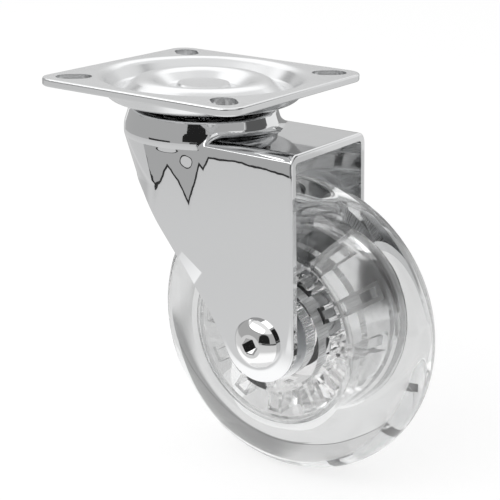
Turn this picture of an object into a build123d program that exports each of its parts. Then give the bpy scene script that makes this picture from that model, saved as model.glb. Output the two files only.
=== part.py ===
from build123d import *
import os
from math import asin, atan2, cos, pi, radians, sin, sqrt, tan

# Swivel castor with a clear skate wheel. Millimetres.
# Origin: centre of the plate's mounting face, on the swivel axis. +Z points at the furniture,
# +X is the way the wheel trails and +Y runs along the wheel's axle. The near side is -Y.

# Plate: one square pressing with a ball track raised in its dish
PLATE_SIDE = 60.0
PLATE_SHEET = 2.0
PLATE_CORNER_R = 5.0
PLATE_EDGE_R = 0.5
SLOT_INSET = 7.0
SLOT_LENGTH = 9.0
SLOT_WIDTH = 6.2
DISH_RIM_R = 25.9
DISH_RIM_BEND_R = 3.0
DISH_DEPTH = 3.9
DISH_WALL_ANGLE = 50.0
DISH_BEND_R = 1.5
TRACK_SLOPE = 35.0
TRACK_CREST_DROP = 0.6
RECESS_DEPTH = 3.5
RECESS_BEND_R = 2.5

# Swivel head: two rows of loose balls round the kingpin
UPPER_BALL_R = 2.5
UPPER_TRACK_R = 15.0
LOWER_BALL_R = 2.0
LOWER_TRACK_R = 10.0
LOWER_GROOVE_DEPTH = 0.6
BALL_CLEARANCE = 0.1
BALL_GAP = 0.25
KINGPIN_R = 5.0
KINGPIN_HEAD_R = 6.9
KINGPIN_HEAD_HEIGHT = 1.5
KINGPIN_HEAD_BEVEL = 0.4
RIVET_TAIL_R = 7.0
RIVET_TAIL_HEIGHT = 1.7
CUP_SHEET = 1.6
CUP_LIP_GAP = 1.2
CUP_BALL_ROOM = 1.0
CUP_BEND_R = 1.4

# Fork: one deep-drawn pressing, crown, apron and two legs
FORK_SHEET = 2.0
FORK_WIDTH = 34.0
FORK_TOP_Z = -12.0
FORK_BEND_R = 3.0
BOSS_R = 20.2
BOSS_TOP_R = 18.8
BOSS_TOP_Z = -7.6
BOSS_SHOULDER_R = 1.4
BOSS_FOOT_R = 8.0
BOSS_WALL_END_Z = -14.4
BOSS_BLEND_R = 2.5
APRON_CONE_END_Z = -25.4
APRON_CONE_BLEND_R = 5.0
CROWN_HOLE_CLEARANCE = 1.6
APRON_RIM_Z = -25.5
APRON_RIM_BEND_R = 12.0
LEG_KNEE_X = 15.0
LEG_KNEE_Z = -55.4
LEG_KNEE_R = 25.0
LEG_FRONT_SLOPE = 50.0
LEG_END_R = 10.3
LEG_REAR_TOP_X = 37.8
LEG_EDGE_R = 0.5

# Axle: an 8 mm sleeve with a head, closed by an M6 button-head screw
TRAIL = 29.7
AXLE_Z = -60.0
AXLE_R = 4.0
AXLE_HOLE_CLEARANCE = 0.1
SLEEVE_SHORT_OF_FACE = 0.6
SCREW_R = 3.0
SCREW_LENGTH = 16.0
HEAD_R = 6.2
HEAD_RIM = 0.9
HEAD_HEIGHT = 3.3
HEAD_FLAT_R = 3.0
HEX_FLATS = 4.0
HEX_DEPTH = 2.2
SPACER_R = 5.8

# Bearings: two of the 608 size, 22 x 8 x 7
BEARING_R = 11.0
BEARING_WIDTH = 7.0
BEARING_FACE_Y = 12.0
RACE_BALL_R = 1.984
RACE_BALL_COUNT = 7
RACE_PITCH_R = 7.5
RACE_CLEARANCE = 0.04
INNER_RING_LAND_R = 6.0
OUTER_RING_LAND_R = 9.2
SHIELD_THICKNESS = 0.3
SHIELD_INSET = 0.25
SHIELD_SEAT = 0.35
SHIELD_CLEARANCE = 0.2
CAGE_WALL = 0.9
CAGE_WIDTH = 5.2
CAGE_POCKET_CLEARANCE = 0.1

# Wheel: a ribbed clear core with a clear tyre cast round it
WHEEL_R = 38.5
WHEEL_WIDTH = 24.0
TREAD_HEIGHT = 15.0
CORE_RIM_R = 23.5
CORE_RIM_WALL = 1.9
CORE_RIM_WIDTH = 20.0
TYRE_LIP = 1.2
BARREL_R = 14.5
BARREL_SHOULDER_R = 9.6
WEB_THICKNESS = 2.6
SPOKE_COUNT = 12
SPOKE_WIDTH = 4.2
SPOKE_SPAN = 17.0
SPOKE_POCKET_WALL = 1.0
SPOKE_POCKET_DEPTH = 5.0

SLOT_SPACING = PLATE_SIDE - 2 * SLOT_INSET
LEG_Y = FORK_WIDTH / 2
LEG_INNER_Y = LEG_Y - FORK_SHEET
AXLE_AT = Location((TRAIL, 0, AXLE_Z), (-90, 0, 0))
CREST_Z = -TRACK_CREST_DROP
CREST_OUTER_R = UPPER_BALL_R + BALL_CLEARANCE + PLATE_SHEET
UPPER_BALL_Z = CREST_Z - CREST_OUTER_R
CROWN_UNDER_Z = BOSS_TOP_Z - FORK_SHEET
LOWER_GROOVE_R = LOWER_BALL_R + BALL_CLEARANCE
LOWER_BALL_Z = CROWN_UNDER_Z + LOWER_GROOVE_DEPTH - LOWER_GROOVE_R
CUP_FLOOR_Z = LOWER_BALL_Z - CUP_BALL_ROOM
CUP_UNDER_Z = LOWER_BALL_Z - LOWER_GROOVE_R - CUP_SHEET
CUP_LIP_Z = CROWN_UNDER_Z - CUP_LIP_GAP
BEARING_MID_Y = BEARING_FACE_Y - BEARING_WIDTH / 2
BEARING_INNER_Y = BEARING_FACE_Y - BEARING_WIDTH


def section(lines):
    """Face in the XZ plane inside a closed run of lines drawn as (x, z)."""
    return Plane.XZ * make_face(Curve(children=lines).edges())


def profile(points):
    """Face in the XZ plane from its (x, z) corners."""
    return section([Polyline(*points, close=True)])


def turned(points):
    """Solid turned about the Z axis from its (radius, z) corners."""
    return revolve(profile(points), Axis.Z, 360)


def tube(outer_r, inner_r, low, high):
    """Plain ring on the Z axis."""
    return turned([(inner_r, low), (outer_r, low), (outer_r, high), (inner_r, high)])


def ring_of(shape, count, start=0.0):
    """Copies of a shape set evenly round the Z axis."""
    return [Rot(0, 0, start + 360 * i / count) * shape for i in range(count)]


def track(track_r, groove_r, z):
    """Round groove that balls run in."""
    return Pos(0, 0, z) * Torus(track_r, groove_r)


def full_row(track_r, ball_r):
    """How many balls fill a row, with a small gap between neighbours."""
    return int(2 * pi * track_r / (2 * ball_r + BALL_GAP))


# Swivel head

def offset_corners(points, amount):
    """Corners of the path that runs parallel to the given one, on its right-hand side."""
    normals = []
    for (x0, z0), (x1, z1) in zip(points, points[1:]):
        length = sqrt((x1 - x0) ** 2 + (z1 - z0) ** 2)
        normals.append(((z1 - z0) / length, (x0 - x1) / length))
    pairs = zip([normals[0]] + normals, normals + [normals[-1]])
    moved = []
    for (x, z), (before, after) in zip(points, pairs):
        scale = amount / (1 + before[0] * after[0] + before[1] * after[1])
        moved.append((x + scale * (before[0] + after[0]), z + scale * (before[1] + after[1])))
    return moved


def bent_sheet(points, bends, sheet):
    """Section of a bent sheet below its top line. A bend is positive where it is hollow above."""
    under = offset_corners(points, sheet)
    top = FilletPolyline(*points, radius=[abs(bend) for bend in bends])
    bottom = FilletPolyline(*under, radius=[abs(bend + sheet) for bend in bends])
    ends = [Line(points[0], under[0]), Line(points[-1], under[-1])]
    return section([top, bottom] + ends)


def plate_section():
    """The dished sheet from the kingpin out to the flat margin, as a section."""
    slope = radians(TRACK_SLOPE)
    apex_z = CREST_Z + CREST_OUTER_R * (1 / cos(slope) - 1)
    recess_r = UPPER_TRACK_R - (apex_z + RECESS_DEPTH) / tan(slope)
    floor_in_r = UPPER_TRACK_R + (apex_z + DISH_DEPTH) / tan(slope)
    floor_out_r = DISH_RIM_R - DISH_DEPTH / tan(radians(DISH_WALL_ANGLE))
    points = [
        (KINGPIN_R, -RECESS_DEPTH),
        (recess_r, -RECESS_DEPTH),
        (UPPER_TRACK_R, apex_z),
        (floor_in_r, -DISH_DEPTH),
        (floor_out_r, -DISH_DEPTH),
        (DISH_RIM_R, 0),
        (DISH_RIM_R + DISH_RIM_BEND_R, 0),
    ]
    bends = [RECESS_BEND_R, -CREST_OUTER_R, DISH_BEND_R, DISH_BEND_R, -DISH_RIM_BEND_R]
    return bent_sheet(points, bends, PLATE_SHEET)


def top_plate():
    """Square plate, dished in the middle, with a slot towards each corner."""
    flat = Pos(0, 0, -PLATE_SHEET / 2) * Box(PLATE_SIDE, PLATE_SIDE, PLATE_SHEET)
    flat = fillet(flat.edges().filter_by(Axis.Z), PLATE_CORNER_R)
    rims = flat.faces().sort_by(Axis.Z)[-1].edges() + flat.faces().sort_by(Axis.Z)[0].edges()
    flat = fillet(rims, PLATE_EDGE_R)
    dish = revolve(plate_section(), Axis.Z, 360)
    dish_r = dish.bounding_box().max.X
    plate = flat - Cylinder(dish_r, 4 * PLATE_SHEET) + dish
    slot = extrude(SlotOverall(SLOT_LENGTH, SLOT_WIDTH), 2 * PLATE_SHEET, both=True)
    slot_r = SLOT_SPACING / 2 * sqrt(2)
    return plate - ring_of(Pos(slot_r, 0, 0) * slot, 4, 45)


def kingpin():
    """Rivet that holds the head together: formed head, shank and closed tail."""
    head_top = KINGPIN_HEAD_HEIGHT - RECESS_DEPTH
    return turned([
        (0, head_top),
        (KINGPIN_HEAD_R - KINGPIN_HEAD_BEVEL, head_top),
        (KINGPIN_HEAD_R, head_top - KINGPIN_HEAD_BEVEL),
        (KINGPIN_HEAD_R, -RECESS_DEPTH),
        (KINGPIN_R, -RECESS_DEPTH),
        (KINGPIN_R, CUP_UNDER_Z),
        (RIVET_TAIL_R, CUP_UNDER_Z),
        (RIVET_TAIL_R, CUP_UNDER_Z - RIVET_TAIL_HEIGHT / 2),
        (KINGPIN_R, CUP_UNDER_Z - RIVET_TAIL_HEIGHT),
        (0, CUP_UNDER_Z - RIVET_TAIL_HEIGHT),
    ])


def lower_cup():
    """Pressed cup under the crown that carries the lower balls."""
    lip_in_r = LOWER_TRACK_R + LOWER_GROOVE_R + CUP_BALL_ROOM
    lip_out_r = lip_in_r + CUP_SHEET
    cup = turned([
        (KINGPIN_R, CUP_UNDER_Z),
        (lip_out_r - CUP_BEND_R, CUP_UNDER_Z),
        (lip_out_r, CUP_UNDER_Z + CUP_BEND_R),
        (lip_out_r, CUP_LIP_Z),
        (lip_in_r, CUP_LIP_Z),
        (lip_in_r, CUP_FLOOR_Z),
        (KINGPIN_R, CUP_FLOOR_Z),
    ])
    return cup - track(LOWER_TRACK_R, LOWER_GROOVE_R, LOWER_BALL_Z)


def ball_row(track_r, ball_r, z):
    """A full row of loose balls, as separate solids in one group."""
    ball = Pos(track_r, 0, z) * Sphere(ball_r)
    return Compound(children=ring_of(ball, full_row(track_r, ball_r)))


# Fork

def crown_solid(inset):
    """Turned form of the crown: drafted boss, short wall and the cone that blends into the legs."""
    draft = (BOSS_R - BOSS_TOP_R) / (BOSS_TOP_Z - FORK_TOP_Z)
    slant = sqrt(1 + draft * draft)
    wall_r = BOSS_R - inset
    top = (BOSS_TOP_R + (draft - slant) * inset, BOSS_TOP_Z - inset)
    foot_z = FORK_TOP_Z - (slant - 1) / draft * inset
    cone_r = LEG_Y - inset
    form = profile([
        (0, BOSS_TOP_Z - inset),
        top,
        (wall_r, foot_z),
        (wall_r, BOSS_WALL_END_Z),
        (cone_r, APRON_CONE_END_Z),
        (0, APRON_CONE_END_Z),
    ])
    shoulder = form.vertices().group_by(Axis.Z)[-1].sort_by(Axis.X)[-1]
    form = fillet(shoulder, max(BOSS_SHOULDER_R - inset, BOSS_SHOULDER_R / 2))
    foot = form.vertices().filter_by(lambda v: abs(v.Z - foot_z) < 1e-3)
    form = fillet(foot, BOSS_FOOT_R - inset)
    wall_end = form.vertices().group_by(Axis.X)[-1].sort_by(Axis.Z)[0]
    form = fillet(wall_end, APRON_CONE_BLEND_R)
    return revolve(form, Axis.Z, 360)


def leg_block(inset, rear_x, low_z):
    """U-shaped block with a round nose, which the legs and the apron are drawn over."""
    half = LEG_Y - inset
    nose = Cylinder(half, FORK_TOP_Z - inset - low_z)
    legs = Pos(rear_x / 2, 0, 0) * Box(rear_x, 2 * half, FORK_TOP_Z - inset - low_z)
    block = Pos(0, 0, (FORK_TOP_Z - inset + low_z) / 2) * (nose + legs)
    top = block.faces().sort_by(Axis.Z)[-1].edges()
    bends = top.filter_by(lambda e: e.center().X < rear_x - half / 2)
    return fillet(bends, FORK_BEND_R - inset)


def tangent_point(corner, centre, radius, turn):
    """Where a line from a corner touches a circle, on the side given by turn."""
    dx, dz = centre[0] - corner[0], centre[1] - corner[1]
    reach = sqrt(dx * dx + dz * dz)
    angle = atan2(dz, dx) + turn * asin(radius / reach)
    length = sqrt(reach * reach - radius * radius)
    return corner[0] + length * cos(angle), corner[1] + length * sin(angle)


def side_outline():
    """Side view of the fork, cut from the drawn sheet: apron rim, slanted front, round leg ends."""
    knee = (LEG_KNEE_X, LEG_KNEE_Z)
    hub = (TRAIL, AXLE_Z)
    rear_top = (LEG_REAR_TOP_X, FORK_TOP_Z)
    front_x = -2 * BOSS_R
    bend_x = LEG_KNEE_X - (APRON_RIM_Z - LEG_KNEE_Z) / tan(radians(LEG_FRONT_SLOPE))
    front_touch = tangent_point(knee, hub, LEG_END_R, -1)
    rear_touch = tangent_point(rear_top, hub, LEG_END_R, 1)
    bottom = (TRAIL, AXLE_Z - LEG_END_R)
    return section([
        Line(rear_touch, rear_top),
        Line(rear_top, (LEG_REAR_TOP_X, 0)),
        Line((LEG_REAR_TOP_X, 0), (front_x, 0)),
        Line((front_x, 0), (front_x, APRON_RIM_Z)),
        FilletPolyline(
            (front_x, APRON_RIM_Z),
            (bend_x, APRON_RIM_Z),
            knee,
            front_touch,
            radius=[APRON_RIM_BEND_R, LEG_KNEE_R],
        ),
        ThreePointArc(front_touch, bottom, rear_touch),
    ])


def drawn_form(inset, rear_x, low_z):
    """One face of the drawn sheet: crown and legs, with a round blend where they meet."""
    crown = crown_solid(inset)
    form = crown + leg_block(inset, rear_x, low_z)
    lowest = APRON_CONE_END_Z + FORK_SHEET / 4
    highest = BOSS_TOP_Z - BOSS_SHOULDER_R
    seam = form.edges().filter_by(GeomType.LINE, reverse=True)
    seam = seam.filter_by(lambda e: lowest < e.center().Z < highest and abs(e.center().Y) > 1)
    seam = seam.filter_by(lambda e: 0 < e.center().X < BOSS_R)
    return form.fillet(BOSS_BLEND_R + inset, seam)


def rolled_rims(shell):
    """Rounds the outer rims of the sheet, which the blanking die rolls over."""
    flanks = shell.faces().filter_by(Axis.Y).sort_by(Axis.Y)
    bend_end_z = FORK_TOP_Z - FORK_BEND_R - LEG_EDGE_R
    rims = flanks[0].outer_wire().edges() + flanks[-1].outer_wire().edges()
    rims = rims.filter_by(lambda e: e.geom_type in (GeomType.LINE, GeomType.CIRCLE))
    rims = rims.filter_by(lambda e: e.center().Z < bend_end_z and e.center().X > LEG_EDGE_R)
    return shell.fillet(LEG_EDGE_R, rims)


def fork():
    """Deep-drawn fork: hollow crown with both ball tracks, open apron and two legs."""
    low_z = AXLE_Z - 2 * LEG_END_R
    rear_x = TRAIL + 2 * LEG_END_R
    outer = drawn_form(0, rear_x, low_z)
    inner = drawn_form(FORK_SHEET, rear_x + FORK_SHEET, low_z - FORK_SHEET)
    outline = extrude(side_outline(), BOSS_R + FORK_SHEET, both=True)
    shell = rolled_rims((outer - inner) & outline)
    axle_hole = AXLE_AT * Cylinder(AXLE_R + AXLE_HOLE_CLEARANCE, 2 * FORK_WIDTH)
    crown_hole = Cylinder(KINGPIN_R + CROWN_HOLE_CLEARANCE, -2 * FORK_TOP_Z)
    tracks = track(UPPER_TRACK_R, UPPER_BALL_R + BALL_CLEARANCE, UPPER_BALL_Z)
    tracks += track(LOWER_TRACK_R, LOWER_GROOVE_R, LOWER_BALL_Z)
    return shell - axle_hole - crown_hole - tracks


# Axle, built along +Z and laid along +Y

def button_head():
    """Domed head with a hex socket, standing on z = 0."""
    dome = section([
        Line((0, 0), (HEAD_R, 0)),
        Line((HEAD_R, 0), (HEAD_R, HEAD_RIM)),
        RadiusArc((HEAD_R, HEAD_RIM), (HEAD_FLAT_R, HEAD_HEIGHT), -(HEAD_R + HEAD_RIM)),
        Line((HEAD_FLAT_R, HEAD_HEIGHT), (0, HEAD_HEIGHT)),
        Line((0, HEAD_HEIGHT), (0, 0)),
    ])
    head = revolve(dome, Axis.Z, 360)
    socket = RegularPolygon(HEX_FLATS / 2, 6, major_radius=False)
    return head - Pos(0, 0, HEAD_HEIGHT - HEX_DEPTH) * extrude(socket, 2 * HEX_DEPTH)


def axle_screw():
    """M6 button-head screw from the near side, thread left plain."""
    shank = Cylinder(SCREW_R, SCREW_LENGTH, align=(Align.CENTER, Align.CENTER, Align.MAX))
    screw = button_head() + shank
    return AXLE_AT * (Pos(0, 0, -LEG_Y) * (Rot(180, 0, 0) * screw))


def axle_sleeve():
    """Sleeve with its own head on the far side, bored for the screw."""
    low = -LEG_Y + SLEEVE_SHORT_OF_FACE
    bore_end = -LEG_Y + SCREW_LENGTH
    body = tube(AXLE_R, SCREW_R, low, bore_end)
    body += tube(AXLE_R, 0, bore_end, LEG_Y)
    return AXLE_AT * (body + Pos(0, 0, LEG_Y) * button_head())


def side_spacer(side):
    """Spacer between a leg and the inner ring of its bearing."""
    low, high = sorted((side * BEARING_FACE_Y, side * LEG_INNER_Y))
    return AXLE_AT * tube(SPACER_R, AXLE_R, low, high)


def bearing_spacer():
    """Tube that keeps the two inner rings apart."""
    return AXLE_AT * tube(SPACER_R, AXLE_R, -BEARING_INNER_Y, BEARING_INNER_Y)


# Bearings, each built about z = 0 and set on the axle

def on_axle(shape, side):
    """Sets a bearing piece in its place, its outer face away from the wheel's middle."""
    turn = Rot(0, 0, 0) if side > 0 else Rot(180, 0, 0)
    return AXLE_AT * (Pos(0, 0, side * BEARING_MID_Y) * (turn * shape))


def outer_ring():
    """Outer ring with its ball track and the two steps that the shields sit in."""
    half = BEARING_WIDTH / 2
    step_r = OUTER_RING_LAND_R + SHIELD_SEAT
    step_z = half - SHIELD_INSET - SHIELD_THICKNESS
    ring = tube(BEARING_R, OUTER_RING_LAND_R, -half, half)
    ring -= tube(step_r, 0, step_z, half + SHIELD_INSET)
    ring -= tube(step_r, 0, -half - SHIELD_INSET, -step_z)
    return ring - track(RACE_PITCH_R, RACE_BALL_R + RACE_CLEARANCE, 0)


def inner_ring():
    """Inner ring with its ball track, clamped on the axle."""
    half = BEARING_WIDTH / 2
    ring = tube(INNER_RING_LAND_R, AXLE_R, -half, half)
    return ring - track(RACE_PITCH_R, RACE_BALL_R + RACE_CLEARANCE, 0)


def race_balls():
    """The bearing's balls, as separate solids in one group."""
    ball = Pos(RACE_PITCH_R, 0, 0) * Sphere(RACE_BALL_R)
    return Compound(children=ring_of(ball, RACE_BALL_COUNT))


def cage():
    """Ring with a round pocket for each ball."""
    half = CAGE_WIDTH / 2
    ring = tube(RACE_PITCH_R + CAGE_WALL / 2, RACE_PITCH_R - CAGE_WALL / 2, -half, half)
    pocket = Cylinder(RACE_BALL_R + CAGE_POCKET_CLEARANCE, 2 * CAGE_WALL)
    return ring - ring_of(Pos(RACE_PITCH_R, 0, 0) * Rot(0, 90, 0) * pocket, RACE_BALL_COUNT)


def shield(face):
    """Thin steel shield seated in the outer ring, on the outer (+1) or inner (-1) face."""
    outer = face * (BEARING_WIDTH / 2 - SHIELD_INSET)
    low, high = sorted((outer, outer - face * SHIELD_THICKNESS))
    return tube(OUTER_RING_LAND_R + SHIELD_SEAT, INNER_RING_LAND_R + SHIELD_CLEARANCE, low, high)


# Wheel, built about the Z axis and laid along +Y

def wheel_core():
    """Clear moulded core: barrel, web, rim and box spokes with a pocket in each end."""
    half = WHEEL_WIDTH / 2
    inner_rim_r = CORE_RIM_R - CORE_RIM_WALL
    core = tube(BARREL_R, BARREL_SHOULDER_R, -half, half)
    core += tube(inner_rim_r, BARREL_R, -WEB_THICKNESS / 2, WEB_THICKNESS / 2)
    core += tube(CORE_RIM_R, inner_rim_r, -CORE_RIM_WIDTH / 2, CORE_RIM_WIDTH / 2)
    spoke_length = inner_rim_r - BARREL_R
    middle_r = (inner_rim_r + BARREL_R) / 2
    spoke = Pos(middle_r, 0, 0) * Box(spoke_length + SPOKE_POCKET_WALL, SPOKE_WIDTH, SPOKE_SPAN)
    core += ring_of(spoke, SPOKE_COUNT)
    seat = tube(BEARING_R, 0, BEARING_INNER_Y, half + 1)
    core -= [seat, Rot(180, 0, 0) * seat]
    pocket = Box(spoke_length - 2 * SPOKE_POCKET_WALL, SPOKE_WIDTH - 2 * SPOKE_POCKET_WALL,
                 SPOKE_POCKET_DEPTH)
    pocket_z = (SPOKE_SPAN - SPOKE_POCKET_DEPTH) / 2
    for side in (-1, 1):
        core -= ring_of(Pos(middle_r, 0, side * pocket_z) * pocket, SPOKE_COUNT)
    return AXLE_AT * core


def tyre():
    """Clear tyre with an elliptical tread, lipped over the core's rim."""
    half = WHEEL_WIDTH / 2
    tread = Plane.XZ * (Pos(CORE_RIM_R, 0) * Ellipse(TREAD_HEIGHT, half))
    outside = Plane.XZ * (Pos(CORE_RIM_R + WHEEL_R, 0) * Rectangle(2 * WHEEL_R, 4 * half))
    lips = profile([
        (CORE_RIM_R, -half),
        (CORE_RIM_R, half),
        (CORE_RIM_R - TYRE_LIP, half - TYRE_LIP / 2),
        (CORE_RIM_R - TYRE_LIP, TYRE_LIP / 2 - half),
    ])
    solid = revolve((tread & outside) + lips, Axis.Z, 360)
    return AXLE_AT * (solid - tube(CORE_RIM_R, 0, -CORE_RIM_WIDTH / 2, CORE_RIM_WIDTH / 2))


def nodes():
    """Every piece under its own name."""
    pieces = {
        "top_plate": top_plate(),
        "kingpin": kingpin(),
        "lower_cup": lower_cup(),
        "upper_balls": ball_row(UPPER_TRACK_R, UPPER_BALL_R, UPPER_BALL_Z),
        "lower_balls": ball_row(LOWER_TRACK_R, LOWER_BALL_R, LOWER_BALL_Z),
        "fork": fork(),
        "axle_screw": axle_screw(),
        "axle_sleeve": axle_sleeve(),
        "bearing_spacer": bearing_spacer(),
        "wheel_core": wheel_core(),
        "tyre": tyre(),
    }
    for name, side in (("near", -1), ("far", 1)):
        pieces[name + "_spacer"] = side_spacer(side)
        pieces[name + "_outer_ring"] = on_axle(outer_ring(), side)
        pieces[name + "_inner_ring"] = on_axle(inner_ring(), side)
        pieces[name + "_race_balls"] = on_axle(race_balls(), side)
        pieces[name + "_cage"] = on_axle(cage(), side)
        pieces[name + "_outer_shield"] = on_axle(shield(1), side)
        pieces[name + "_inner_shield"] = on_axle(shield(-1), side)
    return pieces


def main():
    """Writes one STEP file for each piece."""
    os.makedirs("parts", exist_ok=True)
    for name, piece in nodes().items():
        export_step(piece, os.path.join("parts", name + ".step"))


main()
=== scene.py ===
"""Studio picture of a swivel castor: chromed plate and fork, clear tyre on a clear ribbed core.

Lengths are millimetres where nothing else is said, and become metres where a mesh is made.
"""

import bpy
import numpy as np
from mathutils import Matrix


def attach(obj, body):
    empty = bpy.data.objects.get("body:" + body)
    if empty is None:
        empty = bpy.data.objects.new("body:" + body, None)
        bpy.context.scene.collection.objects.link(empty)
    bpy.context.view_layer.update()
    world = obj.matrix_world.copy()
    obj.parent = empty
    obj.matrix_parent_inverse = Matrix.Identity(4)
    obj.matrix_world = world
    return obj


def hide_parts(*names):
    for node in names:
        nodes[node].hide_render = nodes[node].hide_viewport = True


MM = 0.001
PER_METRE = 1000.0

# Wheel, round an axle along y
AXLE_X, AXLE_Z = 29.7, -60.0
WHEEL_R, HALF_WIDTH, TYRE_LIP = 38.5, 12.0, 1.2
CORE_RIM_R, CORE_RIM_HALF_WIDTH = 23.5, 10.0
# The tyre is moulded on: it overlaps the core's rim by this much, so that no air gap mirrors the light
RIM_OVERLAP, LIP_OVERLAP = 0.06, 0.05

# Studio: the floor, the circle that the walls stand on, and the height just above the floor
FLOOR_Z = -98.6
WALL_R = 420.0
TABLE_Z = FLOOR_Z + 0.3

# Camera: direction seen from the castor and roll in degrees, aim and distance, lens in millimetres
CAMERA_AZIMUTH, CAMERA_ELEVATION, CAMERA_ROLL = 34.477, 18.27, 1.172
CAMERA_AIM, CAMERA_DISTANCE = np.array([20.291, -7.317, -40.573]), 332.453
SENSOR_WIDTH, LENS = 36.0, 96.026

# Fork: half its width, its flat top, and where each leg's flat begins at the front and below the bend
LEG_Y, FORK_TOP_Z = 17.0, -12.0
LEG_FRONT_X, LEG_TOP_Z = -3.2, -14.9
# Foot of the bend over each leg: highest at BEND_FOOT_X, and a parabola that falls away from there
BEND_FOOT_X, BEND_FOOT_Z, BEND_FOOT_DROP = 22.0, -15.6, 0.005
# Bright strip on the leg's leading edge: its upper end, direction, length and width, and its tilt
STRIP_X, STRIP_Z, STRIP_WAY = 5.03, -41.97, (0.829, -0.558)
STRIP_LENGTH, STRIP_WIDTH, STRIP_TILT = 8.8, 1.45, 0.44
# Crowned band round the leg's end: the end's radius, the flat's own centre and radius inside the
# band, and the tilts along the leg, up it and everywhere
LEG_END_R, BAND_CENTRE, BAND_INNER_R = 10.3, (-1.2, 1.0), 7.9
BAND_TILTS = (0.14, 0.12, 0.07)
# Soft rear edge of the leg above its end: place at the axle's height, lean, and its two tilts
REAR_X, REAR_LEAN, REAR_TILTS = 37.7, 0.093, (0.10, 0.12)
# Folds that the deep drawing left where the crown's round wall runs out in the flat leg:
# the tip's x and z, then how fast the fold's edge rises in front of the tip and behind it
FOLDS = [(-3.3, -29.0, 20.0, 1.55), (8.5, -29.2, 1.75, 3.8), (12.7, -19.3, 1.1, 2.2)]
# Flat islands in the folds: centre x and z, half length and half height
ISLANDS = [(7.8, -17.7, 1.4, 1.6), (3.6, -15.2, 2.9, 0.75)]
# How far the sheet leans back in a fold, and how far a fold's edge wavers
FOLD_TILT, FOLD_WAVER = 0.17, 1.1

# Plate: how far from its middle, square and round, only the outer edge lies
PLATE_EDGE, PLATE_CORNER_R = 28.5, 37.9

# Share of its tone that the chrome keeps where shade is painted on it
PAINTED_SHADE_TONE = 0.82

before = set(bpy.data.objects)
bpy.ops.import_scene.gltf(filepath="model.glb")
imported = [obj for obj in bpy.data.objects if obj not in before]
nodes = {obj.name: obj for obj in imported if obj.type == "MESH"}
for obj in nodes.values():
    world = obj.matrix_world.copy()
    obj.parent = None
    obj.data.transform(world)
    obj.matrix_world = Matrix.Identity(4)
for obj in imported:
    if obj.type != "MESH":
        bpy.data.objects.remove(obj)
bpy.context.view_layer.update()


# Shader maths

class Value:
    """A node's output that takes part in Python sums, each of which adds its own Math node."""

    def __init__(self, graph, socket):
        self.graph = graph
        self.socket = socket

    def maths(self, operation, first, second):
        return self.graph.add("ShaderNodeMath", {"operation": operation}, {0: first, 1: second})

    def __add__(self, other):
        return self.maths("ADD", self, other)

    __radd__ = __add__

    def __sub__(self, other):
        return self.maths("SUBTRACT", self, other)

    def __rsub__(self, other):
        return self.maths("SUBTRACT", other, self)

    def __mul__(self, other):
        return self.maths("MULTIPLY", self, other)

    __rmul__ = __mul__

    def __truediv__(self, other):
        return self.maths("DIVIDE", self, other)

    def __abs__(self):
        return self.maths("ABSOLUTE", self, 0.0)

    def root(self):
        return self.maths("SQRT", self, 0.0)

    def least(self, other):
        return self.maths("MINIMUM", self, other)

    def most(self, other):
        return self.maths("MAXIMUM", self, other)

    def step(self, low, high):
        """0 at low and 1 at high, with a smooth rise or fall between them."""
        return self.graph.add("ShaderNodeMapRange", {"interpolation_type": "SMOOTHSTEP"},
                              {"Value": self, "From Min": low, "From Max": high})


class Graph:
    """The nodes of one material or of the world."""

    def __init__(self, tree):
        self.tree = tree
        tree.nodes.clear()

    def add(self, kind, settings=None, inputs=None, output=0):
        """One node: its settings first, then the values or links of its sockets."""
        node = self.tree.nodes.new(kind)
        for name, value in (settings or {}).items():
            setattr(node, name, value)
        for name, value in (inputs or {}).items():
            if isinstance(value, Value):
                self.tree.links.new(value.socket, node.inputs[name])
            else:
                node.inputs[name].default_value = value
        return Value(self, node.outputs[output]) if node.outputs else None

    def noise(self, scale, detail):
        """Cloudy pattern about 0.5, fixed to the object, with scale clouds in a metre."""
        place = self.add("ShaderNodeTexCoord", output="Object")
        return self.add("ShaderNodeTexNoise", None, {"Vector": place, "Scale": scale, "Detail": detail})

    def bump(self, height, distance, normal=None):
        """Normal of a surface raised by height times distance in metres."""
        inputs = {"Height": height, "Distance": distance, "Strength": 1.0}
        if normal is not None:
            inputs["Normal"] = normal
        return self.add("ShaderNodeBump", None, inputs)

    def parts(self, output):
        """The three parts of a Texture Coordinate output."""
        vector = self.add("ShaderNodeTexCoord", output=output)
        split = self.tree.nodes.new("ShaderNodeSeparateXYZ")
        self.tree.links.new(vector.socket, split.inputs[0])
        return [Value(self, socket) for socket in split.outputs]

    def place(self):
        """The point's x, y and z in millimetres, in the object's own axes."""
        return [part * PER_METRE for part in self.parts("Object")]

    def turned_normal(self, parts):
        """Surface normal whose parts along the object's own axes are given."""
        vector = self.add("ShaderNodeCombineXYZ", None, dict(enumerate(parts)))
        vector = self.add("ShaderNodeVectorMath", {"operation": "NORMALIZE"}, {0: vector})
        colour = self.add("ShaderNodeVectorMath", {"operation": "MULTIPLY_ADD"},
                          {0: vector, 1: (0.5, 0.5, 0.5), 2: (0.5, 0.5, 0.5)})
        return self.add("ShaderNodeNormalMap", {"space": "OBJECT"}, {"Color": colour})


def new_material(name):
    material = bpy.data.materials.new(name)
    material.use_nodes = True
    return material, Graph(material.node_tree)


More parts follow.
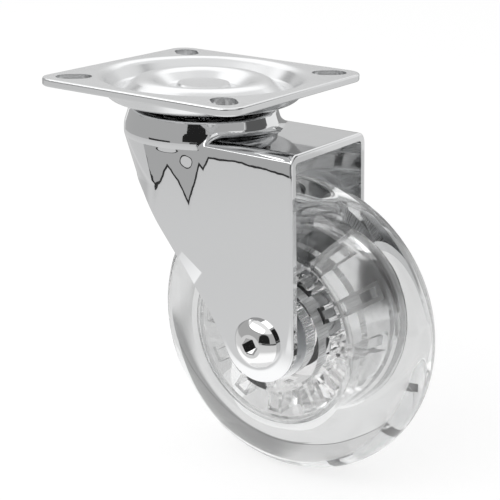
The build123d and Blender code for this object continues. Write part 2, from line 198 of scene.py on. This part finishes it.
def drawn_lean(graph, x, z):
    """How far the sheet leans back in the folds and above the bend's foot: 0 to FOLD_TILT.

    A point's depth is its distance inside the nearest edge, of a fold or of the bend's foot. The
    lean rises with it over some millimetres, slower in the foremost fold, and the edges waver.
    """
    depth = z - BEND_FOOT_Z + BEND_FOOT_DROP * (x - BEND_FOOT_X) * (x - BEND_FOOT_X)
    waver = FOLD_WAVER * (graph.noise(260.0, 2.0) - 0.5)
    for tip_x, tip_z, before, behind in FOLDS:
        front = (z - tip_z - before * (tip_x - x)) / float(np.hypot(1.0, before))
        back = (z - tip_z - behind * (x - tip_x)) / float(np.hypot(1.0, behind))
        depth = depth.most(front.least(back))
    depth = depth * (1.0 - 0.8 * x.step(1.0, -2.8))
    lean = (depth + waver).step(-1.1, 1.6) * x.step(LEG_FRONT_X - 0.5, LEG_FRONT_X)
    for centre_x, centre_z, length, height in ISLANDS:
        east, north = (x - centre_x) / length, (z - centre_z) / height
        lean = lean.least(((east * east + north * north).root() + 0.8 * waver).step(0.7, 1.5))
    return FOLD_TILT * lean


def pressed(graph):
    """Normal of the fork's sheet, shaded where the solid is plain.

    On the legs' outer faces: folds below the crown, flat sheet under them, a crowned band round the
    leg's end, a soft rear edge and a bright pressed strip on the leading edge.
    """
    x, y, z = graph.place()
    across, out, up = graph.parts("Normal")
    lean = drawn_lean(graph, x, z)
    outside = abs(y).step(LEG_Y - 0.4, LEG_Y - 0.1)
    leg = outside * z.step(LEG_TOP_Z + 0.3, LEG_TOP_Z)
    flat = leg * x.step(LEG_FRONT_X - 0.4, LEG_FRONT_X) * x.step(14.0, 12.5) * z.step(-34.0, -30.0)
    far, high = x - AXLE_X, z - AXLE_Z
    east, north = far - BAND_CENTRE[0], high - BAND_CENTRE[1]
    band = (east * east + north * north).root().step(BAND_INNER_R, BAND_INNER_R + 1.0)
    band = outside * band * high.step(4.0, 0.0)
    rear = outside * high.step(20.0, 10.0) * high.step(-2.0, 3.0)
    rear = rear * (x - REAR_LEAN * high).step(REAR_X, REAR_X + 0.6)
    ahead, above = x - STRIP_X, z - STRIP_Z
    along = STRIP_WAY[0] * ahead + STRIP_WAY[1] * above
    inset = STRIP_WAY[0] * above - STRIP_WAY[1] * ahead
    strip = outside * inset.step(STRIP_WIDTH, STRIP_WIDTH - 0.3)
    strip = strip * along.step(0.0, 0.9) * along.step(STRIP_LENGTH, STRIP_LENGTH - 0.8)
    along_leg, up_leg, even = BAND_TILTS
    across = across * (1.0 - flat) + along_leg * band * far / LEG_END_R + REAR_TILTS[0] * rear
    up = up + leg * (up.most(lean) - up) + band * (up_leg * high / LEG_END_R - even)
    return graph.turned_normal([across, out, up - REAR_TILTS[1] * rear - STRIP_TILT * strip])


def metal(name, colour, roughness, wear, grain=0.0, form=None, painted_shade=None, polish=None):
    """Bright steel, plated or ground. Roughness drifts by wear and the skin ripples by grain metres.

    form gives the normal, the shade mask where the base colour is lowered as painted shade, and polish
    where the roughness is.
    """
    material, graph = new_material(name)
    tone = (*colour, 1.0)
    # Painted shade: the base colour falls towards the lower tone where the mask is 1
    if painted_shade:
        tone = graph.add("ShaderNodeMix", {"data_type": "RGBA"},
                         {0: painted_shade(graph), 6: tone, 7: (*(PAINTED_SHADE_TONE * c for c in colour), 1.0)}, 2)
    smear = graph.noise(220.0, 4.0)
    skin = graph.noise(900.0, 2.0)
    normal = form(graph) if form else None
    rough = roughness * (1.0 - 0.75 * polish(graph)) if polish else roughness
    shader = graph.add("ShaderNodeBsdfPrincipled", None, {
        "Base Color": tone,
        "Metallic": 1.0,
        "Roughness": rough + wear * (smear - 0.5),
        "Normal": graph.bump(skin, grain, normal),
    }, "BSDF")
    graph.add("ShaderNodeOutputMaterial", None, {"Surface": shader})
    return material


def clear(name, colour, ior, haze, flow):
    """Clear moulded plastic, a little milky by haze, with a skin that flowed by flow metres."""
    material, graph = new_material(name)
    shader = graph.add("ShaderNodeBsdfPrincipled", None, {
        "Base Color": (*colour, 1.0),
        "Roughness": 0.0,
        "IOR": ior,
        "Transmission Weight": 1.0 - haze,
        "Normal": graph.bump(graph.noise(55.0, 1.0), flow),
    }, "BSDF")
    graph.add("ShaderNodeOutputMaterial", None, {"Surface": shader})
    return material


def painted_fork_shade(graph):
    """1 where shade is painted on the chrome: the fork's inside and its flat top beside the crown, in
    clouds.
    """
    y, z = graph.place()[1:]
    up = graph.parts("Normal")[2]
    top = (up.step(0.85, 0.98) * z.step(FORK_TOP_Z - 0.8, FORK_TOP_Z - 0.3)
           * z.step(FORK_TOP_Z + 0.7, FORK_TOP_Z + 0.2))
    inner = (abs(y).step(LEG_Y - 0.5, LEG_Y - 1.1) * z.step(FORK_TOP_Z - 0.4, FORK_TOP_Z - 1.0)
             * z.step(-40.0, -32.0))
    return top.most(inner) * (0.7 + 0.6 * graph.noise(160.0, 4.0))


def sheared_edge(graph):
    """1 on the plate's outer edge, where the press left the sheet bright."""
    x, y = graph.place()[:2]
    up = graph.parts("Normal")[2]
    side = abs(x).most(abs(y)).step(PLATE_EDGE, PLATE_EDGE + 0.7)
    corner = (x * x + y * y).root().step(PLATE_CORNER_R, PLATE_CORNER_R + 0.6)
    return side.most(corner) * abs(up).step(0.6, 0.3)


def sheared(graph):
    """Normal of the plate, whose sheared edge leans in a little towards its underside."""
    across, out, up = graph.parts("Normal")
    return graph.turned_normal([across, out, up - 0.09 * sheared_edge(graph)])


# The fork's chrome is darker on its inside and on its top beside the crown: painted shade.
CHROME = metal("chrome", (0.74, 0.745, 0.75), 0.04, 0.02, 0.000002, form=pressed, painted_shade=painted_fork_shade)
PLATE = metal("plate chrome", (0.70, 0.705, 0.71), 0.22, 0.08, 0.000003,
              form=sheared, polish=sheared_edge)
BRIGHT = metal("bright screw", (0.76, 0.76, 0.76), 0.05, 0.02)
STEEL = metal("ground steel", (0.90, 0.905, 0.91), 0.36, 0.08)
# Nearly black: partly grease, partly painted shade of the dark gap between the plate and the crown.
GREASED_SHADED_BALLS = metal("greased balls with painted shade", (0.10, 0.10, 0.10), 0.18, 0.04)
ZINC = metal("zinc plate", (0.90, 0.91, 0.92), 0.46, 0.12)
TYRE = clear("clear tyre", (0.865, 0.87, 0.87), 1.49, 0.01, 0.0003)
CORE = clear("clear core", (0.97, 0.97, 0.97), 1.55, 0.05, 0.0)

FINISH = {
    "top_plate": PLATE, "kingpin": PLATE, "lower_cup": ZINC, "upper_balls": GREASED_SHADED_BALLS, "lower_balls": GREASED_SHADED_BALLS,
    "fork": CHROME, "axle_screw": BRIGHT, "axle_sleeve": BRIGHT, "bearing_spacer": ZINC,
    "near_spacer": ZINC, "far_spacer": ZINC, "wheel_core": CORE, "tyre": TYRE,
}
for side in ("near_", "far_"):
    for part in ("outer_ring", "inner_ring", "race_balls"):
        FINISH[side + part] = STEEL
    for part in ("cage", "outer_shield", "inner_shield"):
        FINISH[side + part] = ZINC
for name, material in FINISH.items():
    for slot in nodes[name].material_slots:
        slot.material = material


# Clear tyre

def turned(name, profile, material, count=256):
    """Ring about the axle: point (r, y) of the closed profile goes to r cos t, y, r sin t."""
    profile = np.asarray(profile, float)
    angle = np.linspace(0.0, 2.0 * np.pi, count, endpoint=False)
    r, y = profile[None, :, 0], profile[None, :, 1]
    grid = np.stack([AXLE_X + r * np.cos(angle)[:, None], y + 0.0 * angle[:, None],
                     AXLE_Z + r * np.sin(angle)[:, None]], axis=-1) * MM
    rows, columns = grid.shape[:2]
    index = np.arange(rows * columns).reshape(rows, columns)
    after, beside = np.roll(index, -1, axis=0), np.roll(index, -1, axis=1)
    both = np.roll(after, -1, axis=1)
    faces = np.stack([index, beside, both, after], axis=-1).reshape(-1, 4)
    mesh = bpy.data.meshes.new(name)
    mesh.from_pydata(grid.reshape(-1, 3).tolist(), [], faces.tolist())
    mesh.materials.append(material)
    mesh.polygons.foreach_set("use_smooth", np.ones(len(faces), bool))
    mesh.set_sharp_from_angle(angle=np.radians(30.0))
    piece = bpy.data.objects.new(name, mesh)
    bpy.context.scene.collection.objects.link(piece)
    return piece


def tyre_profile(steps=72):
    """Half an ellipse for the tread, then the lip that steps in over the core's rim."""
    angle = np.linspace(-np.pi / 2, np.pi / 2, steps + 1)
    seat_r, seat_y = CORE_RIM_R - RIM_OVERLAP, CORE_RIM_HALF_WIDTH - LIP_OVERLAP
    tread = np.stack([seat_r + (WHEEL_R - seat_r) * np.cos(angle), HALF_WIDTH * np.sin(angle)], axis=1)
    lip_r, lip_y = seat_r - TYRE_LIP, HALF_WIDTH - TYRE_LIP / 2
    inside = [(lip_r, lip_y), (lip_r, seat_y), (seat_r, seat_y), (seat_r, -seat_y), (lip_r, -seat_y),
              (lip_r, -lip_y)]
    return np.concatenate([tread, inside])


tyre = turned("clear_tyre", tyre_profile(), TYRE)
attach(tyre, "wheel")
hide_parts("tyre")


# Camera, in the photograph's place

def direction(azimuth, elevation):
    """Unit vector; azimuth 0 is -Y, 90 is +X."""
    azimuth, elevation = np.radians((azimuth, elevation))
    return np.array([np.sin(azimuth) * np.cos(elevation), -np.cos(azimuth) * np.cos(elevation),
                     np.sin(elevation)])


def facing(aim, azimuth, elevation, distance, roll=0.0):
    """Place and turn of a camera or lamp that looks at aim from that direction and distance in metres."""
    back, right = direction(azimuth, elevation), direction(azimuth + 90.0, 0.0)
    up, roll = np.cross(back, right), np.radians(roll)
    matrix = np.eye(4)
    matrix[:3, 0] = np.cos(roll) * right + np.sin(roll) * up
    matrix[:3, 1] = np.cos(roll) * up - np.sin(roll) * right
    matrix[:3, 2] = back
    matrix[:3, 3] = aim + distance * back
    return Matrix(matrix.tolist())


def add_camera():
    """A long lens at the photograph's distance, rolled by about a degree."""
    camera = bpy.data.objects.new("camera", bpy.data.cameras.new("camera"))
    camera.matrix_world = facing(CAMERA_AIM * MM, CAMERA_AZIMUTH, CAMERA_ELEVATION,
                                 CAMERA_DISTANCE * MM, CAMERA_ROLL)
    camera.data.sensor_width = SENSOR_WIDTH
    camera.data.lens = LENS
    camera.data.clip_start, camera.data.clip_end = 0.01, 20.0
    bpy.context.scene.collection.objects.link(camera)
    bpy.context.scene.camera = camera


def seen_directly(graph):
    """1 for rays that carry the background to the eye: camera, mirror and see-through rays."""
    path = graph.tree.nodes.new("ShaderNodeLightPath")
    camera, mirror, through = (Value(graph, path.outputs[name]) for name in
                               ("Is Camera Ray", "Is Glossy Ray", "Is Transmission Ray"))
    return graph.add("ShaderNodeMath", {"operation": "MINIMUM"}, {0: camera + mirror + through, 1: 1.0})


def add_world():
    """White all round, a little lower where it lights the object."""
    world = bpy.data.worlds.new("studio")
    world.use_nodes = True
    graph = Graph(world.node_tree)
    light = graph.add("ShaderNodeBackground", None, {"Color": (1.0, 1.0, 1.0, 1.0), "Strength": 0.65})
    white = graph.add("ShaderNodeBackground", None, {"Color": (1.0, 1.0, 1.0, 1.0), "Strength": 1.0})
    mixed = graph.add("ShaderNodeMixShader", None, {0: seen_directly(graph), 1: light, 2: white})
    graph.add("ShaderNodeOutputWorld", None, {"Surface": mixed})
    bpy.context.scene.world = world


def staged(name, points, faces, material, seen=False):
    """Flat or curved piece of the studio, from corners in metres, which is no part of the castor."""
    mesh = bpy.data.meshes.new(name)
    mesh.from_pydata(np.asarray(points).tolist(), [], faces)
    mesh.materials.append(material)
    piece = bpy.data.objects.new(name, mesh)
    bpy.context.scene.collection.objects.link(piece)
    piece.visible_camera = piece.visible_diffuse = piece.visible_shadow = seen
    return piece


def glow(name, tone):
    """Plain tone that does not depend on the light."""
    material, graph = new_material(name)
    shader = graph.add("ShaderNodeEmission", None, {"Color": (tone, tone, tone, 1.0)})
    graph.add("ShaderNodeOutputMaterial", None, {"Surface": shader})
    return material


def soft_glow(name, low, high, edge, dip, tone=1.0):
    """Plain tone with a cloud: tone - dip in the middle of the box low..high, rising over its edge.

    The box is given in degrees of azimuth and in millimetres of height.
    """
    material, graph = new_material(name)
    x, y, z = graph.place()
    turn = x.maths("ARCTAN2", x - AXLE_X, 0.0 - y) * float(np.degrees(1.0))
    cloud = (turn.step(low[0], low[0] + edge[0]) * turn.step(high[0], high[0] - edge[0])
             * z.step(low[1], low[1] + edge[1]) * z.step(high[1], high[1] - edge[1]))
    shader = graph.add("ShaderNodeEmission", None, {"Color": tone - dip * cloud})
    graph.add("ShaderNodeOutputMaterial", None, {"Surface": shader})
    return material


def graded(name, stops, upright=False):
    """Tone along the stops, each a distance from the hub's axis and a tone, or a height if upright."""
    material, graph = new_material(name)
    x, y, z = graph.place()
    place = z if upright else ((x - AXLE_X) * (x - AXLE_X) + y * y).root()
    tone = stops[0][1]
    for (near, before), (end, after) in zip(stops, stops[1:]):
        tone = tone + (after - before) * place.step(near, end)
    shader = graph.add("ShaderNodeEmission", None, {"Color": tone})
    graph.add("ShaderNodeOutputMaterial", None, {"Surface": shader})
    return material


def ring(name, azimuths, rims, material):
    """Sector between two circles about the hub, each a radius and a height in millimetres.

    It is seen only in the castor's reflections and through its wheel.
    """
    azimuth = np.linspace(azimuths[0], azimuths[1], 65)
    way = np.stack([direction(a, 0.0) for a in azimuth])
    points = np.concatenate([np.array([AXLE_X, 0.0, height]) + radius * way for radius, height in rims])
    count = len(azimuth)
    faces = [(i, i + 1, count + i + 1, count + i) for i in range(count - 1)]
    return staged(name, points * MM, faces, material)


def arch(name, azimuth, distance, width, foot, top, tone):
    """Upright round-topped card facing the castor, in millimetres.

    Its rim is half the width times cos^0.7 t across and the height times sin^0.7 t up, with the
    cosine's sign kept.
    """
    across = direction(azimuth + 90.0, 0.0)
    centre = direction(azimuth, 0.0) * distance + np.array([0.0, 0.0, foot])
    angle = np.linspace(0.0, np.pi, 33)[:, None]
    side = np.sign(np.cos(angle)) * np.abs(np.cos(angle)) ** 0.7
    rise = np.abs(np.sin(angle)) ** 0.7
    rim = centre + width / 2 * side * across + (top - foot) * rise * np.array([0, 0, 1.0])
    return staged(name, rim * MM, [tuple(range(len(rim)))], glow(name, tone))


def add_floor():
    """Pale floor that the wheel stands on: white to the eye, and darker where the castor shades it."""
    material, graph = new_material("floor")
    shaded = graph.add("ShaderNodeBsdfDiffuse", None, {"Color": (0.8, 0.8, 0.8, 1.0)})
    faint = graph.add("ShaderNodeBsdfDiffuse", None, {"Color": (0.35, 0.35, 0.35, 1.0)})
    haze = graph.add("ShaderNodeEmission", None, {"Color": (1.0, 1.0, 1.0, 1.0), "Strength": 0.75})
    lifted = graph.add("ShaderNodeAddShader", None, {0: faint, 1: haze})
    mixed = graph.add("ShaderNodeMixShader", None, {0: seen_directly(graph), 1: shaded, 2: lifted})
    graph.add("ShaderNodeOutputMaterial", None, {"Surface": mixed})
    z = FLOOR_Z * MM
    staged("floor", [(-3, -3, z), (3, -3, z), (3, 3, z), (-3, 3, z)], [(0, 1, 2, 3)], material, True)


def add_lamp(name, azimuth, elevation, distance, size, watts):
    """Soft lamp that faces the castor, its distance, width and height in metres."""
    lamp = bpy.data.objects.new(name, bpy.data.lights.new(name, "AREA"))
    lamp.data.shape = "RECTANGLE"
    lamp.data.size, lamp.data.size_y = size
    lamp.data.energy = watts
    lamp.matrix_world = facing(np.array([0.0, 0.0, -0.04]), azimuth, elevation, distance)
    bpy.context.scene.collection.objects.link(lamp)


add_camera()
add_world()
add_floor()
add_lamp("front softbox", -18.0, 42.0, 1.0, (1.2, 0.52), 3.6)

# Front of the studio: a grey wall, its dark foot, and the table, with a painted pool of light beside the
# wheel
ring("front_wall", (-112.0, 100.0), [(WALL_R, FLOOR_Z), (WALL_R, 228.0)], glow("front_wall", 0.48))
for azimuths in ((-48.0, -14.0), (14.0, 100.0)):
    ring("table_edge", azimuths, [(WALL_R - 5.0, FLOOR_Z), (WALL_R - 5.0, -68.0)],
         glow("table_edge", 0.04))
# The table's glow is brightest near the wheel: a painted pool of light.
ring("table", (-112.0, 125.0), [(26.0, TABLE_Z), (WALL_R, TABLE_Z)],
     graded("table", [(54.0, 1.3), (88.0, 0.78), (200.0, 0.76), (400.0, 0.70)]))
arch("lens_card", 27.0, 400.0, 300.0, -60.0, 172.0, 0.02)

# Right side: a room that is dark in its middle
ring("side_room", (98.0, 154.0), [(WALL_R + 10.0, FLOOR_Z), (WALL_R + 10.0, 620.0)],
     soft_glow("side_room", (98.5, -80.0), (150.0, 600.0), (7.0, 150.0), 0.88))

# Back: the table, darker at the far left, a low board with a dark foot, and a high light
ring("back_table", (125.0, 248.0), [(48.0, TABLE_Z), (700.0, TABLE_Z)], glow("back_table", 0.80))
ring("left_table", (-180.0, -149.0), [(108.0, TABLE_Z + 0.3), (199.0, TABLE_Z + 0.3)],
     graded("left_table", [(108.0, 0.80), (140.0, 0.34)]))
ring("back_board", (-178.0, -112.0), [(200.0, FLOOR_Z), (200.0, 20.0)],
     soft_glow("back_board", (-200.0, -200.0), (-146.0, 60.0), (8.0, 30.0), 0.34, 0.66))
ring("back_foot", (-178.0, -112.0), [(199.0, FLOOR_Z), (199.0, FLOOR_Z + 2.0)], glow("back_foot", 0.1))
ring("back_light", (-178.0, -80.0), [(600.0, 30.0), (600.0, 1500.0)],
     graded("back_light", [(60.0, 0.70), (200.0, 0.80), (430.0, 1.45), (1500.0, 1.5)], True))

cycles = bpy.context.scene.cycles
cycles.max_bounces, cycles.glossy_bounces, cycles.transmission_bounces = 32, 24, 32
bpy.context.scene.view_settings.view_transform = "Standard"
